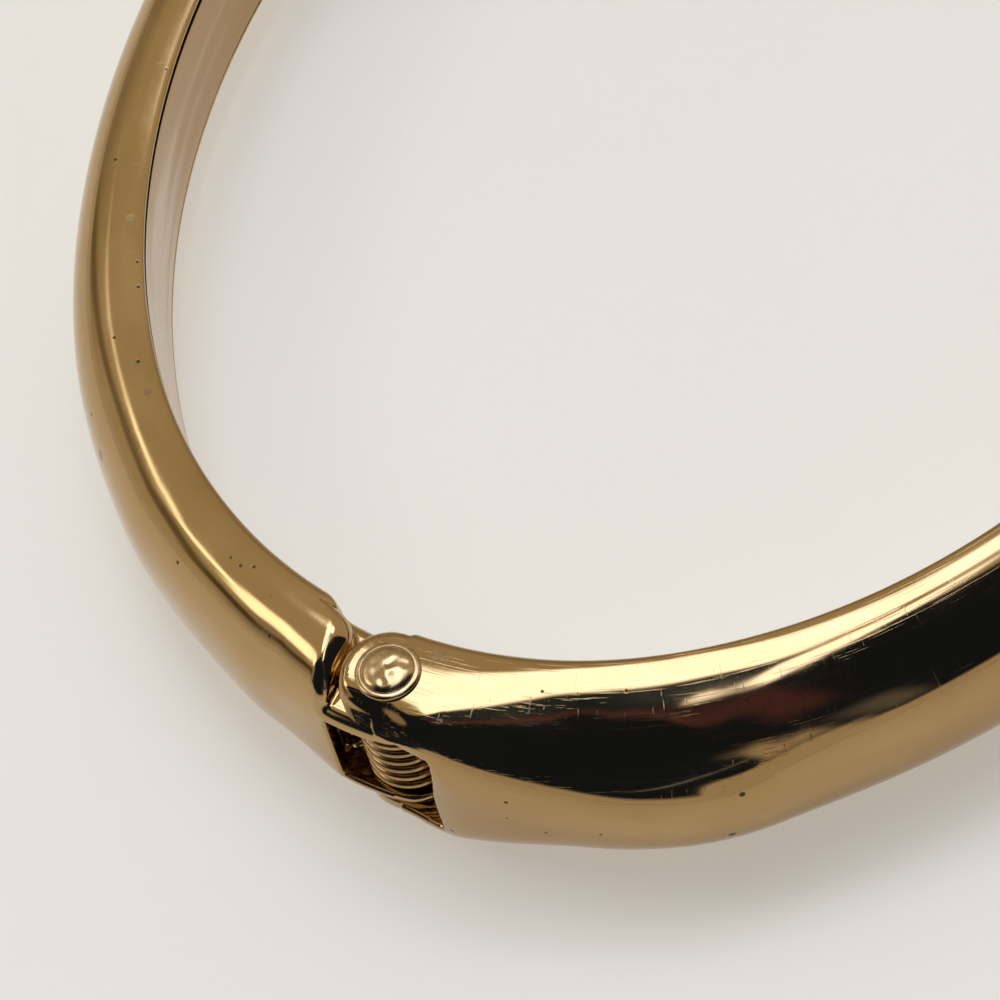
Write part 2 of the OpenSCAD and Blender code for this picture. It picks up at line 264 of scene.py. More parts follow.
def hinge_end(body, run, depth, height, side):
    """Cuts the plain arm down to its ears, and also gives the distance to its pocket. x and y
    are measured from the pin, y along the arm."""
    p = on_band(run, depth, height, side)
    x, y, h = p[..., 0] - PIN_X, side * p[..., 1], np.abs(height)
    near = p[..., 0] < 0
    round_end = np.hypot(x, np.minimum(y, 0)) - EAR_R - 2 * np.maximum(y, 0)
    body = both(body, np.where(near, round_end, -FAR), EAR_ROUND[side])
    body = both(body, np.where(near, -FAR, END_GAP / 2 - y), END_ROUND)
    body = both(body, np.where(near, chamfer(x, y, h, side), -FAR), CHAMFER_ROUND[side])
    if side == BACK:
        nose_round = 0.5 + 0.4 * smooth_step(h, LEDGE + 0.3, WIDTH / 2)
        body = cut(body, np.where(near, room_for_ears(x, y, h), FAR), nose_round)
    body = cut(body, np.where(near, window(x, y, height, side), FAR), WINDOW_ROUND[side])
    reach = (FRONT_WINDOW if side == FRONT else BACK_WINDOW) + POCKET
    hollow = np.where(near, pocket(p, x, y, h, reach), FAR)
    body = cut(body, hollow, POCKET_ROUND)
    return cut(body, np.hypot(x, y) - PIN_R - BORE_GAP, BORE_ROUND), hollow


def droop(run, depth, height, side):
    """How far the back arm's faces sink towards the outer corner of its nose. The slope grows
    evenly from nothing at a line through the middle of the nose."""
    p = on_band(run, depth, height, side)
    reach = NOSE_SINKS[0] * (p[..., 0] - PIN_X) + NOSE_SINKS[1] * (p[..., 1] - SHOULDER - 0.2)
    sink = np.minimum(SINK_GROWTH * np.maximum(reach, 0) ** 2, SINK_MOST)
    return np.where(p[..., 0] < 0, sink, 0) * (side == BACK)


def arm(run, depth, height, side):
    """Distance to a whole arm."""
    bent = height + np.sign(height) * droop(run, depth, height, side)
    return hinge_end(band(run, depth, bent, side)[0], run, depth, height, side)[0]


def pocket_and_seam_shade(run, depth, height, side):
    """1 on the walls of the pocket and of the plate's groove, where the distance to each is
    zero, and 0 elsewhere. The groove's mask fades out below the middle plane. Both masks say
    where shade is painted: the pocket's walls and the upper seam are made dark."""
    body, groove = band(run, depth, height, side)
    hollow = hinge_end(body, run, depth, height, side)[1]
    seam = (1 - smooth_step(np.abs(groove), 0.02, 0.09)) * smooth_step(height, -1, 1)
    return {"cast": 1 - smooth_step(np.abs(hollow), 0.02, 0.1), "seam": seam}


def soften_flank(normal, run, depth, height, side):
    """Normals of the front arm, with those of its ear's upper flank leaned back as on the
    chamfer above it, because polishing made one soft band of the two. The band fades out along
    the arm and ends above the window."""
    if side == BACK:
        return normal
    y = -on_band(run, depth, height, side)[..., 1]
    low, high = 2.55 + 0.55 * smooth_step(y, 0, 2), 3.6
    flank = smooth_step(height, low, low + 0.1) * (1 - smooth_step(height, high, high + 0.2))
    flank = np.where(run < 9, flank * (1 - smooth_step(y, 1.8, 3.2)), 0)
    lean = flank * 2 * CHAMFER_UP * np.maximum(CHAMFER_UP - normal[:, 2], 0)
    normal = normal + np.stack([0 * lean, 0 * lean, lean], 1)
    return normal / np.linalg.norm(normal, axis=1)[:, None]


# %% [markdown]
# A skin over a formula
# The space round an arm is filled with a grid that bends with the band. Every grid cell that
# the surface crosses gets one point, and the points of four cells round a crossed grid line
# make a face. Four steps of Newton's method then move each point exactly onto the surface, and
# the slope of the formula there gives its normal, so reflections are smooth.


# %% The grid along, across and up the band
def fine_then_coarse(ends, step):
    """Places that divide each span between two ends evenly, in steps no longer than its own."""
    spans = [np.linspace(a, b, max(2, int(np.ceil((b - a) / s)) + 1))[:-1]
             for a, b, s in zip(ends[:-1], ends[1:], step)]
    return np.concatenate(spans + [[ends[-1]]])


def grid_of(side):
    """Runs, depths and heights of the grid. Near the wrist face and the outer faces its lines
    keep their distance from the face, and the rest stretches with the section."""
    run = fine_then_coarse([-2.3, 5.2, 9, RUN - 1, RUN + 0.2], [0.09, 0.2, 0.44, 0.1])
    angle = np.degrees(np.interp(run, run_of_turn, turns))
    deep, half = (through(SECTIONS[side], c, angle)[:, None] for c in (1, 4))
    inner = np.array([-0.12, -0.04, 0.04, 0.1, 0.18, 0.27, 0.36, 0.46, 0.56, 0.64, 0.72])
    share = np.linspace(0, 1, 39)[1:]
    depth = np.concatenate([np.repeat(inner[None], len(run), 0),
                            inner[-1] + (deep + 0.12 - inner[-1]) * share], 1)
    edge = np.array([0.1, 0.03, -0.04, -0.11, -0.18, -0.25, -0.31, -0.39, -0.47, -0.55])
    share = np.linspace(1, 0, 43)[1:]
    upper = np.concatenate([half + edge, (half + edge[-1]) * share], 1)
    height = np.concatenate([upper, -upper[:, -2::-1]], 1)
    return run, depth, height


# %% Covering a formula with faces
def skin_over(distance, run, depth, height):
    """Points (run, depth, height) and faces where distance(run, depth, height) is zero.
    Each crossed cell's point is the mean of the places where its edges cross the surface."""
    shape = (len(run), depth.shape[1], height.shape[1])
    node = np.stack([np.broadcast_to(run[:, None, None], shape),
                     np.broadcast_to(depth[:, :, None], shape),
                     np.broadcast_to(height[:, None, :], shape)], -1)
    value = distance(node[..., 0], node[..., 1], node[..., 2])
    cells = tuple(n - 1 for n in shape)
    total, count = np.zeros(cells + (3,)), np.zeros(cells)
    faces, crossed = [], []
    for axis in range(3):
        low = tuple(slice(None, -1) if k == axis else slice(None) for k in range(3))
        high = tuple(slice(1, None) if k == axis else slice(None) for k in range(3))
        a, b = value[low], value[high]
        hit = (a < 0) != (b < 0)
        t = np.where(hit, a / np.where(hit, a - b, 1), 0)[..., None]
        place = (node[low] * (1 - t) + node[high] * t) * hit[..., None]
        others = [k for k in range(3) if k != axis]
        for i in (0, 1):
            for j in (0, 1):
                part = [slice(None)] * 3
                part[others[0]] = slice(i, i + cells[others[0]])
                part[others[1]] = slice(j, j + cells[others[1]])
                total += place[tuple(part)]
                count += hit[tuple(part)]
        crossed.append((axis, others, hit, a < 0))
    number = np.full(cells, -1)
    used = count > 0
    number[used] = np.arange(used.sum())
    points = total[used] / count[used][:, None]
    for axis, others, hit, inside in crossed:
        at = np.argwhere(hit)
        edge_in = inside[hit]
        corners = []
        for i, j in ((1, 1), (0, 1), (0, 0), (1, 0)):
            cell = at.copy()
            cell[:, others[0]] -= i
            cell[:, others[1]] -= j
            corners.append(number[tuple(cell.T)])
        quad = np.stack(corners, 1)
        turn_round = edge_in if axis == 1 else ~edge_in
        quad[turn_round] = quad[turn_round][:, ::-1]
        faces.append(quad)
    return points, np.concatenate(faces)


# %% Moving the points onto the surface
def slope_of(distance, q, side):
    """Slope of the distance at points q, along, outward and up, and how much longer a step
    along the run is there: one plus depth times the oval's curvature."""
    tiny = 0.003
    ends = [distance(*(q + s * tiny * np.eye(3)[k]).T) for k in range(3) for s in (1, -1)]
    g = np.stack([(ends[2 * k] - ends[2 * k + 1]) / (2 * tiny) for k in range(3)], 1)
    a = np.interp(q[:, 0], run_of_turn, turns)
    bend = LONG * WIDE / ((LONG * np.sin(a)) ** 2 + (WIDE * np.cos(a)) ** 2) ** 1.5
    stretch = 1 + q[:, 1] * bend * (q[:, 0] > 0)
    return g, stretch


def settle(distance, q, side, rounds=4, longest=0.06):
    """Newton's method: each point moves back along the slope by distance over slope squared, by
    no more than the longest move at a time. Returns the points in band coordinates and their
    normals in x, y and z."""
    for _ in range(rounds):
        g, stretch = slope_of(distance, q, side)
        size = (g[:, 0] / stretch) ** 2 + g[:, 1] ** 2 + g[:, 2] ** 2 + 1e-9
        move = -(distance(*q.T) / size)[:, None] * g / np.stack(
            [stretch**2, np.ones(len(q)), np.ones(len(q))], 1)
        q = q + move / np.maximum(1, np.linalg.norm(move, axis=1) / longest)[:, None]
    g, stretch = slope_of(distance, q, side)
    a = np.interp(q[:, 0], run_of_turn, turns)
    n = np.stack([-np.cos(a) / LONG, side * np.sin(a) / WIDE], 1)
    n /= np.linalg.norm(n, axis=1)[:, None]
    along = side * np.stack([n[:, 1], -n[:, 0]], 1)
    normal = np.concatenate([n * g[:, 1:2] + along * (g[:, 0] / stretch)[:, None], g[:, 2:3]], 1)
    normal /= np.linalg.norm(normal, axis=1)[:, None] + 1e-9
    return q, normal


# %% Making a Blender mesh
def piece(name, points, faces, normals=None, place=None, masks=None):
    """A mesh object at the origin. Points come in millimetres. place and masks are kept with
    each point, so that a material can follow the band, find the rough walls and know where
    shade is painted."""
    mesh = bpy.data.meshes.new(name)
    mesh.from_pydata((points / 1000).tolist(), [], faces)
    mesh.polygons.foreach_set("use_smooth", np.ones(len(mesh.polygons), bool))
    if place is not None:
        layer = mesh.attributes.new("band_place", "FLOAT_VECTOR", "POINT")
        layer.data.foreach_set("vector", (place / 1000).astype(np.float32).ravel())
    for label, values in (masks or {}).items():
        mesh.attributes.new(label, "FLOAT", "POINT").data.foreach_set("value", values)
    mesh.validate()
    if normals is not None:
        mesh.normals_split_custom_set_from_vertices(normals.tolist())
    obj = bpy.data.objects.new(name, mesh)
    bpy.context.scene.collection.objects.link(obj)
    print(name, len(mesh.vertices), "points,", len(faces), "faces")
    return obj


# %% Skinning both arms
def make_arm(name, side):
    """One arm with its ears, from the grid to the finished mesh."""
    def distance(run, depth, height):
        return arm(run, depth, height, side)

    q, faces = skin_over(distance, *grid_of(side))
    if side == BACK:
        faces = faces[:, ::-1]
    q, normal = settle(distance, q, side)
    normal = soften_flank(normal, *q.T, side)
    return piece(name, on_band(*q.T, side), faces.tolist(), normal, q, pocket_and_seam_shade(*q.T, side))


front_arm_skin = make_arm("front_arm_skin", FRONT)
back_arm_skin = make_arm("back_arm_skin", BACK)

# %% [markdown]
# The inner plates
# A thin plate closes each hollow arm on the wrist side. It lies in a groove between two lips,
# and the dark hairline round it is the seam that the eye finds on the inner edge; on the upper
# side its darkness is painted shade. The plate is a rounded rectangle carried along the groove.


# %% A tube of sections
def tube(sections):
    """Faces between rings of equal length: point j of ring i joins point j+1 and ring i+1. The
    last two points are the middles of the end rings, and fans of triangles close on them."""
    rings, n = sections.shape[:2]
    i, j = np.meshgrid(np.arange(rings - 1), np.arange(n), indexing="ij")
    a, b = i * n + j, i * n + (j + 1) % n
    quads = np.stack([a, b, b + n, a + n], -1).reshape(-1, 4)
    points = np.concatenate([sections.reshape(-1, 3),
                             sections[:1].mean(1), sections[-1:].mean(1)])
    k = np.arange(n)
    first = np.stack([(k + 1) % n, k, np.full(n, rings * n)], 1)
    last = (rings - 1) * n + np.stack([k, (k + 1) % n, np.full(n, n + 1)], 1)
    return points, quads.tolist() + first.tolist() + last.tolist()


def make_plate(name, side):
    """A rounded rectangle at each run, with a quarter circle of six points at each corner. Its
    upper edge is a little lower, so that the seam above it is open, and its upper corners are
    painted dark as shade in the seam."""
    radius, lower = 0.05, 0.07
    round_points, flat_points = 6, 13
    run = np.linspace(PLATE_RUN[0] + PLATE_GAP, PLATE_RUN[1] - PLATE_GAP, 420)
    angle = np.degrees(np.interp(run, run_of_turn, turns))
    half = through(SECTIONS[side], 4, angle) - LIP - PLATE_GAP
    t = np.linspace(0, np.pi / 2, round_points)
    q = radius * np.stack([1 - np.cos(t), np.sin(t) - 1], 1)
    flat = np.linspace(-1, 1, flat_points + 2)[1:-1]
    depth = np.concatenate([q[:, 0], PLATE - q[::-1, 0], np.full(flat_points, PLATE),
                            PLATE - q[:, 0], q[::-1, 0], np.zeros(flat_points)])
    edge = np.ones(2 * round_points)
    sign = np.concatenate([edge, -flat, -edge, flat])
    inset = np.concatenate([q[:, 1], q[::-1, 1], 0 * flat, -q[:, 1], -q[::-1, 1], 0 * flat])
    height = (half - lower)[:, None] * sign - lower + inset
    along, deep = run[:, None] + 0 * height, depth + 0 * height
    points, faces = tube(on_band(along, deep, height, side))
    place = np.concatenate([np.stack([along, deep, height], -1).reshape(-1, 3),
                            np.array([[run[0], 0, 0], [run[-1], 0, 0]])])
    # the upper corners of each section get the seam mask: painted shade in the seam above
    seam = np.zeros(len(depth))
    seam[:2 * round_points] = np.clip(np.arange(2 * round_points) / 3, 0, 1)
    seam = np.concatenate([np.tile(seam, len(run)), [0, 0]])
    if side == BACK:
        faces = [f[::-1] for f in faces]
    return piece(name, points, faces, None, place, {"seam": seam})


front_plate_skin = make_plate("front_plate_skin", FRONT)
back_plate_skin = make_plate("back_plate_skin", BACK)

# %% [markdown]
# The rivet
# The pin is one turned shape. Its heads were closed with a hammer, so the dome has shallow
# dents, and a thin rim runs round it where the set pressed it down.


# %% The turned pin
def make_pin():
    """A profile turned round the pin's axis. Dents are smooth hollows, each a bell curve
    exp(-distance^2 / size^2) lower than the dome."""
    seat, dome_radius, dome_rise, rim_wide, rim_high = 0.02, 1.04, 0.27, 0.25, 0.14
    t = np.linspace(0, 1, 34)
    dome_r = dome_radius * np.sin(t * np.pi / 2)
    dome_z = rim_high + dome_rise * np.cos(t * np.pi / 2) ** 1.1
    t = np.linspace(0, 1, 12)[1:]
    rim_r = dome_radius + rim_wide * np.sin(t * np.pi / 2)
    rim_z = rim_high * np.cos(t * np.pi / 2) ** 0.7 + 0.008 * np.sin(t * np.pi)
    head = np.concatenate([np.stack([dome_r, dome_z], 1), np.stack([rim_r, rim_z], 1)])[1:]
    shank = np.array([[1.27, -0.006], [PIN_R, -0.01], [PIN_R, -WIDTH / 4]])
    z_top = WIDTH / 2 + seat
    upper = np.concatenate([head, shank]) + [0, z_top]
    profile = np.concatenate([upper, (upper * [1, -1])[::-1]])
    around = np.linspace(0, 2 * np.pi, 145)[:-1]
    r, z = profile[:, :1], profile[:, 1:]
    x, y = r * np.cos(around), r * np.sin(around)
    # columns: x and y from the axis, size, depth
    dents = [(-0.35, 0.25, 0.3, 0.05), (0.3, -0.1, 0.26, 0.06), (0.05, 0.5, 0.24, 0.045),
             (-0.2, -0.45, 0.28, 0.05), (0.55, 0.35, 0.22, 0.04), (0.1, 0.02, 0.16, 0.03),
             (-0.62, -0.15, 0.2, 0.035), (0.42, -0.6, 0.2, 0.04)]
    drop = sum(deep * np.exp(-((x - dent_x) ** 2 + (y - dent_y) ** 2) / size**2)
               for dent_x, dent_y, size, deep in dents)
    on_head = smooth_step(np.abs(z), z_top + 0.03, z_top + 0.14)
    z = z - np.sign(z) * drop * on_head
    points, faces = tube(np.stack([PIN_X + x, y, MIDDLE + z], -1)[:, ::-1])
    top = z_top + rim_high + dome_rise - drop[0].mean()
    points[-2, 2], points[-1, 2] = MIDDLE + top, MIDDLE - top
    return piece("hinge_pin_skin", points, faces)


hinge_pin_skin = make_pin()

# %% [markdown]
# The spring
# A round wire is wound six times round the pin, and a straight leg at each end pushes into the
# pocket of one arm. The wire's path is a helix, and a small circle is carried along it.


# %% The wound wire
def make_spring():
    """Circles of the wire's radius, square to the path. The path is a helix of 6 turns and 40
    degrees, with a straight leg at both ends that leaves along the wire's own direction."""
    wire, coil, whole_turns, lean = 0.18, 1.68, 6, np.radians(20)
    low = BASE + OUTER_EAR + EAR_GAP + INNER_EAR + wire + 0.05
    high = BASE + WIDTH - (low - BASE)
    t = np.linspace(0, 1, 460)
    a = (2 * np.pi * whole_turns + 2 * lean) * t - lean
    helix = np.stack([coil * np.cos(a), coil * np.sin(a), low + (high - low) * t], 1)
    leg = (FRONT_WINDOW + POCKET - 0.35 - coil * np.sin(lean)) / np.cos(lean)
    s = np.linspace(1, 0, 12)[:-1, None] * leg
    first = helix[0] - s * np.array([np.sin(lean), np.cos(lean), 0])
    last = helix[-1] + s[::-1] * np.array([-np.sin(lean), np.cos(lean), 0])
    path = np.concatenate([first, helix, last])
    way = np.gradient(path, axis=0)
    way /= np.linalg.norm(way, axis=1)[:, None]
    side = np.cross(way, [0, 0, 1])
    side /= np.linalg.norm(side, axis=1)[:, None]
    over = np.cross(side, way)
    b = np.linspace(0, 2 * np.pi, 17)[:-1, None]
    rings = path[:, None] + wire * (np.cos(b) * side[:, None] + np.sin(b) * over[:, None])
    points, faces = tube(rings[:, ::-1] + [PIN_X, 0, 0])
    return piece("hinge_spring_skin", points, faces), low, high


hinge_spring_skin, spring_low, spring_high = make_spring()

# %% [markdown]
# Riding with the solids
# Every piece but the spring moves with the body of the solid that it stands for. The spring
# is put in place once, and its solid is hidden: its lower leg lies in the front arm and its
# upper leg in the back arm.

# %% What each piece stands for
for skin, node, body, finish in (
        (front_arm_skin, "front_arm", "front", "arm_gold"),
        (front_plate_skin, "front_plate", "front", "plate_gold"),
        (back_arm_skin, "back_arm", "back", "arm_gold"),
        (back_plate_skin, "back_plate", "back", "plate_gold"),
        (hinge_pin_skin, "hinge_pin", "front", "pin_gold")):
    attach(skin, body)
    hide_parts(node)
# the lower leg lies in the front arm, the upper one in the back arm
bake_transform(hinge_spring_skin)
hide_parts("hinge_spring")
print("the twist is shared from", round(spring_low, 2), "to", round(spring_high, 2), "mm high")

# %% [markdown]
# Finishes
# Gold-coloured plating is a metal: it has a base colour and a roughness, and all the rest is
# what it reflects. Fine scratches, small pits and worn spots keep it from looking like glass.


# %% Wiring nodes
def add(tree, kind, inputs=None, **settings):
    """A node with its settings, and with values or links on its inputs."""
    node = tree.nodes.new(kind)
    for key, value in settings.items():
        setattr(node, key, value)
    for key, value in (inputs or {}).items():
        if isinstance(value, bpy.types.NodeSocket):
            tree.links.new(value, node.inputs[key])
        else:
            node.inputs[key].default_value = value
    return node


def calc(tree, operation, *values):
    """One sum of a node tree, as a socket."""
    node = add(tree, "ShaderNodeMath", dict(enumerate(values)), operation=operation)
    return node.outputs[0]


def group(name, inputs, outputs):
    """An empty node group: its tree and the sockets that come in."""
    tree = bpy.data.node_groups.new(name, "ShaderNodeTree")
    for way, sockets in (("INPUT", inputs), ("OUTPUT", outputs)):
        for label, kind in sockets.items():
            tree.interface.new_socket(label, in_out=way, socket_type="NodeSocket" + kind)
    return tree, add(tree, "NodeGroupInput").outputs


def ramp(tree, value, low, high, bottom=0.0, top=1.0):
    """A smooth step from bottom to top while the value goes from low to high."""
    node = add(tree, "ShaderNodeMapRange", {"Value": value, "From Min": low, "From Max": high,
               "To Min": bottom, "To Max": top}, interpolation_type="SMOOTHSTEP")
    return node.outputs[0]


def blend(tree, share, a, b):
    """Colour a, or colour b where the share is 1."""
    inputs = {0: share, 6: a if isinstance(a, bpy.types.NodeSocket) else (*a, 1),
              7: b if isinstance(b, bpy.types.NodeSocket) else (*b, 1)}
    return add(tree, "ShaderNodeMix", inputs, data_type="RGBA").outputs[2]


def noise(tree, place, scale, detail=2.0, distortion=0.0):
    """Noise whose scale differs along, outward and up. The scales are per metre."""
    stretched = add(tree, "ShaderNodeVectorMath", {0: place, 1: scale}, operation="MULTIPLY")
    node = add(tree, "ShaderNodeTexNoise", {"Vector": stretched.outputs[0], "Scale": 1.0,
               "Detail": detail, "Distortion": distortion})
    return node.outputs["Fac"]


# %% Fine wear
# Hair scratches run along the band, because it is wiped that way. Clouds are the faint uneven
# patches that handling leaves, and pits are single dark dots.
wear, given = group("fine_wear", {"Place": "Vector"},
                    {"Scratches": "Float", "Clouds": "Float", "Pits": "Float"})
hairs = ramp(wear, noise(wear, given["Place"], (260, 15000, 15000), 3, 0.4), 0.58, 0.72)
short = ramp(wear, noise(wear, given["Place"], (9000, 700, 1300), 2, 0.8), 0.66, 0.74)
clouds = noise(wear, given["Place"], (220, 500, 500), 4, 0.6)
cells = add(wear, "ShaderNodeTexVoronoi", {"Vector": given["Place"], "Scale": 900.0})
chosen = add(wear, "ShaderNodeSeparateColor", {0: cells.outputs["Color"]}).outputs[0]
pits = calc(wear, "MULTIPLY", ramp(wear, cells.outputs["Distance"], 0.09, 0.05),
            ramp(wear, chosen, 0.93, 0.94))
add(wear, "NodeGroupOutput", {"Scratches": calc(wear, "MAXIMUM", hairs, short),
                              "Clouds": clouds, "Pits": pits})
print("nodes of fine wear:", len(wear.nodes))

# %% One mark at a chosen place
spot, given = group("spot", {"Place": "Vector", "Middle": "Vector", "Radius": "Float"},
                    {"Mask": "Float"})
gap = add(spot, "ShaderNodeVectorMath", {0: given["Place"], 1: given["Middle"]},
          operation="DISTANCE").outputs["Value"]
share = calc(spot, "DIVIDE", gap, given["Radius"])
add(spot, "NodeGroupOutput", {"Mask": ramp(spot, share, 1.0, 0.55)})
print("nodes of a mark:", len(spot.nodes))

# %% Cast walls
# The pocket's cast walls are painted dark as shade in the recess, and single grains are painted
# bright as glints.
casting, given = group("shaded_cast_walls", {"Place": "Vector"}, {"Color": "Color", "Roughness": "Float"})
grains = add(casting, "ShaderNodeTexVoronoi", {"Vector": given["Place"], "Scale": 2600.0})
painted_glint = add(casting, "ShaderNodeSeparateColor", {0: grains.outputs["Color"]}).outputs[1]
painted_glint = ramp(casting, painted_glint, 0.7, 0.74)
add(casting, "NodeGroupOutput", {
    "Color": blend(casting, painted_glint, (0.17, 0.078, 0.042), (1.0, 0.74, 0.43)),
    "Roughness": ramp(casting, painted_glint, 0.0, 1.0, 0.55, 0.25)})
print("nodes of the cast walls:", len(casting.nodes))

# %% What is darker than the metal
# painted shade for the seams beside the plates
SEAM_SHADE, SEAM_ROUGHNESS = (0.035, 0.016, 0.008), 0.14
MARK_DARK = (0.1, 0.06, 0.03)
PIT_DARK = (0.12, 0.07, 0.035)
# painted shade on the pin inside its bore
BORE_SHADE = (0.07, 0.035, 0.017)      # the pin inside its bore
print("a seam is", round(MARK_DARK[0] / SEAM_SHADE[0], 1), "times darker than a mark")


# %% The gold of the arms
def gold(name, color, worn, roughness, scratched, marks, grime):
    """Plated metal that follows the band, with the pocket's cast walls and the upper seams painted
    dark as shade where the mesh says.
    Marks are run, depth, height and radius in millimetres. Grime is the same for wide faint
    stains."""
    material = bpy.data.materials.new(name)
    material.use_nodes = True
    tree = material.node_tree
    shader = tree.nodes["Principled BSDF"]
    place = add(tree, "ShaderNodeAttribute", attribute_name="band_place").outputs["Vector"]
    fine = add(tree, "ShaderNodeGroup", {"Place": place}, node_tree=wear).outputs
    scratches = calc(tree, "MULTIPLY", fine["Scratches"], scratched)
    dark = fine["Pits"]
    for spots, strength in ((marks, 1.0), (grime, 0.45)):
        for run, depth, height, radius in spots:
            one = add(tree, "ShaderNodeGroup", {"Place": place, "Radius": radius / 1000,
                      "Middle": Vector((run, depth, height)) / 1000}, node_tree=spot).outputs[0]
            dark = calc(tree, "MAXIMUM", dark, calc(tree, "MULTIPLY", one, strength))
    tone = blend(tree, ramp(tree, fine["Clouds"], 0.4, 0.7), color, worn)
    tone = blend(tree, dark, tone, MARK_DARK)
    rough = calc(tree, "ADD", ramp(tree, fine["Clouds"], 0.35, 0.7, roughness, roughness + 0.05),
                 calc(tree, "MULTIPLY", scratches, 0.06))
    rough = calc(tree, "ADD", rough, calc(tree, "MULTIPLY", dark, 0.4))
    # painted shade and painted glints on the pocket's cast walls, where the cast mask is 1
    cast = add(tree, "ShaderNodeAttribute", attribute_name="cast").outputs["Fac"]
    walls = add(tree, "ShaderNodeGroup", {"Place": place}, node_tree=casting).outputs
    tone = blend(tree, cast, tone, walls["Color"])
    # painted shade in the upper seam of the plate's groove
    seam = add(tree, "ShaderNodeAttribute", attribute_name="seam").outputs["Fac"]
    tone = blend(tree, seam, tone, SEAM_SHADE)
    rough = add(tree, "ShaderNodeMix", {0: cast, 2: rough, 3: walls["Roughness"]}).outputs[0]
    rough = add(tree, "ShaderNodeMix", {0: seam, 2: rough, 3: SEAM_ROUGHNESS}).outputs[0]
    height = calc(tree, "ADD", scratches, calc(tree, "MULTIPLY", dark, 4.0))
    bump = add(tree, "ShaderNodeBump", {"Height": height, "Strength": 0.25, "Distance": 0.000004},
               invert=True)
    shader.inputs["Metallic"].default_value = 1
    for label, value in (("Base Color", tone), ("Roughness", rough), ("Normal", bump.outputs[0])):
        tree.links.new(value, shader.inputs[label])
    return material


front_marks = [(8.47, 1.48, 3.99, 0.09), (4.5, 4.97, 1.46, 0.09), (5.53, 5.14, -0.35, 0.07),
               (11.74, 5.14, 1.49, 0.13), (11.16, 5.48, -0.72, 0.16), (7.27, 5.38, 0.06, 0.07)]
front_grime = [(1.33, 0.8, 4.18, 0.3), (1.74, 0.84, 4.18, 0.2), (1.55, 0.6, 4.18, 0.16)]
back_marks = [(28.76, 1.51, 2.76, 0.1), (23.55, 0.25, 2.91, 0.09), (22.28, 0.26, 2.95, 0.1),
              (20.04, 1.47, 3.05, 0.08), (18.54, 0.72, 3.19, 0.12), (9.68, 2.84, 2.98, 0.1),
              (7.94, 1.36, 3.99, 0.08), (7.38, 1.33, 4.02, 0.1), (6.96, 1.02, 4.07, 0.1),
              (4.7, 2.68, 3.64, 0.1)]
back_grime = [(25.73, 0.55, 2.89, 0.25), (16.93, 0.69, 3.31, 0.22), (16.09, 3.31, 1.58, 0.3)]
front_arm_skin.data.materials.append(gold(
    "arm_gold", color=(0.45, 0.29, 0.127), worn=(0.48, 0.315, 0.145), roughness=0.045,
    scratched=1.0, marks=front_marks, grime=front_grime))
back_arm_skin.data.materials.append(gold(
    "arm_gold_satin", color=(0.48, 0.318, 0.14), worn=(0.52, 0.35, 0.165), roughness=0.08,
    scratched=0.3, marks=back_marks, grime=back_grime))
print("marks:", len(front_marks), "and", len(back_marks))


# %% Plates, rivet and wire
def plain_metal(name, kind, color, other, roughness, scale, pale_run=None, core=None):
    """Metal whose tone and roughness wander between two values. kind says what its pattern is
    fixed to: "own" coordinates or the "band". pale_run, in metres, is where the paler stretch
    at the hinge ends. Nearer to the middle plane than the core it is painted almost black, as
    shade inside the bore."""
    material = bpy.data.materials.new(name)
    material.use_nodes = True
    tree = material.node_tree
    shader = tree.nodes["Principled BSDF"]
    if kind == "band":
        place = add(tree, "ShaderNodeAttribute", attribute_name="band_place").outputs["Vector"]
    else:
        place = add(tree, "ShaderNodeTexCoord").outputs["Object"]
    cloud = noise(tree, place, scale, 4, 0.5)
    if pale_run:
        run = add(tree, "ShaderNodeSeparateXYZ", {0: place}).outputs[0]
        cloud = calc(tree, "MULTIPLY", cloud, ramp(tree, run, *pale_run, 1.6, 0.75))
    fine = add(tree, "ShaderNodeGroup", {"Place": place}, node_tree=wear).outputs
    tone = blend(tree, ramp(tree, cloud, 0.35, 0.7), color, other)
    rough = calc(tree, "ADD", ramp(tree, cloud, 0.3, 0.75, roughness, roughness + 0.12),
                 calc(tree, "MULTIPLY", fine["Scratches"], 0.08))
    # painted shade on the pin's shank between its heads, inside the bore
    if core:
        up = calc(tree, "ABSOLUTE", calc(tree, "SUBTRACT", add(
            tree, "ShaderNodeSeparateXYZ", {0: place}).outputs[2], MIDDLE / 1000))
        tone = blend(tree, ramp(tree, up, core, core * 0.98), tone, BORE_SHADE)
    # painted shade at the plate's upper edge, in the seam
    seam = add(tree, "ShaderNodeAttribute", attribute_name="seam").outputs["Fac"]
    tone = blend(tree, seam, tone, SEAM_SHADE)
    rough = add(tree, "ShaderNodeMix", {0: seam, 2: rough, 3: SEAM_ROUGHNESS}).outputs[0]
    tone = blend(tree, fine["Pits"], tone, PIT_DARK)
    shader.inputs["Metallic"].default_value = 1
    tree.links.new(rough, shader.inputs["Roughness"])
    tree.links.new(tone, shader.inputs["Base Color"])
    return material


plate_gold = plain_metal("plate_gold", "band", (0.45, 0.28, 0.12), (0.66, 0.52, 0.39), 0.14,
                         (60, 300, 900), pale_run=(0.018, 0.034))
for skin in (front_plate_skin, back_plate_skin):
    skin.data.materials.append(plate_gold)
hinge_pin_skin.data.materials.append(plain_metal(
    "pin_gold", "own", (0.45, 0.3, 0.14), (0.62, 0.44, 0.23), 0.16, (1500, 1500, 1500),
    core=WIDTH / 2000))
hinge_spring_skin.data.materials.append(plain_metal(
    "spring_wire", "own", (0.36, 0.22, 0.085), (0.5, 0.32, 0.14), 0.14, (2500, 2500, 2500)))
print("materials:", len(bpy.data.materials))

